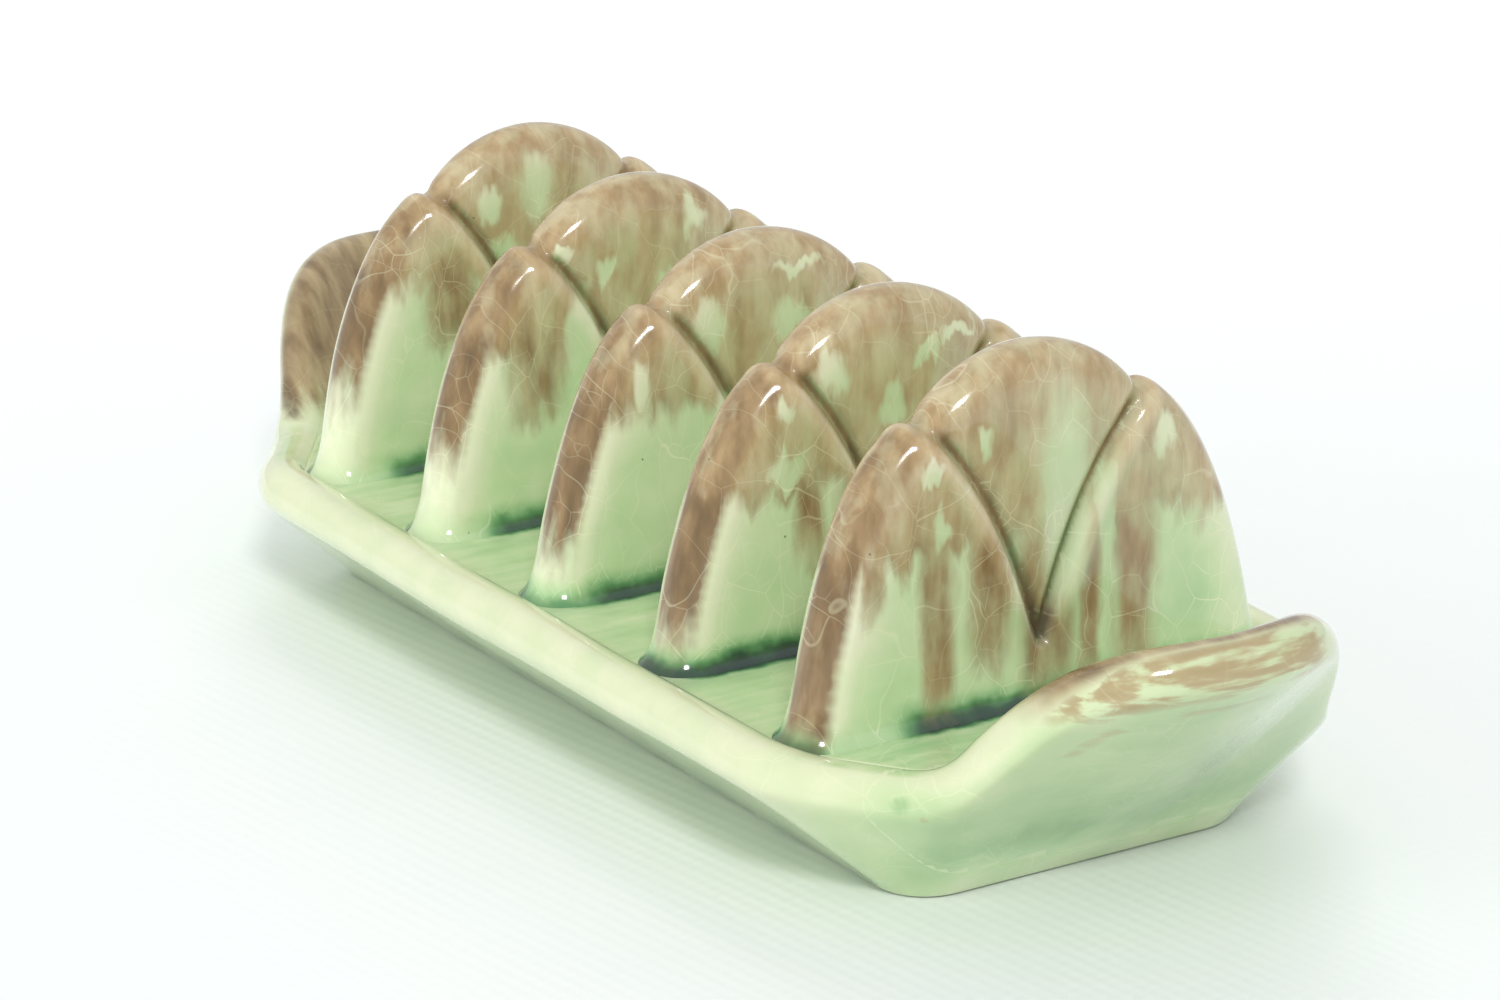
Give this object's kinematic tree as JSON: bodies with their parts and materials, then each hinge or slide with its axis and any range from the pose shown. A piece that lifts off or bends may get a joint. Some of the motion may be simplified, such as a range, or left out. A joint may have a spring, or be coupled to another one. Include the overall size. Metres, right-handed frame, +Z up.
{
  "type": "toast rack",
  "caption": "Long glazed earthenware tray on a foot, with upright leaf-shaped dividers for slices of toast and a flared grip lip at each end.",
  "frame": {"origin": "under the middle of the rack, on the surface it stands on", "axes": "+X along the row of dividers, +Y across the rack, +Z up"},
  "size_m": [0.1758, 0.0672, 0.0517],
  "materials": {
    "tray_glaze": "pale green transparent glaze over cream body, thin and creamy on the rim, crazed, high gloss",
    "grip_glaze": "sage green transparent glaze with a tan brown sponged lip, crazed, high gloss",
    "leaf_glaze": "tan brown running glaze over mint green and cream, dark in the grooves, crazed, high gloss"
  },
  "bodies": {
    "root": {"tray": "tray_glaze", "grip_1": "grip_glaze", "grip_2": "grip_glaze", "divider_1": "leaf_glaze", "divider_2": "leaf_glaze", "divider_3": "leaf_glaze", "divider_4": "leaf_glaze", "divider_5": "leaf_glaze"}
  },
  "joints": []
}
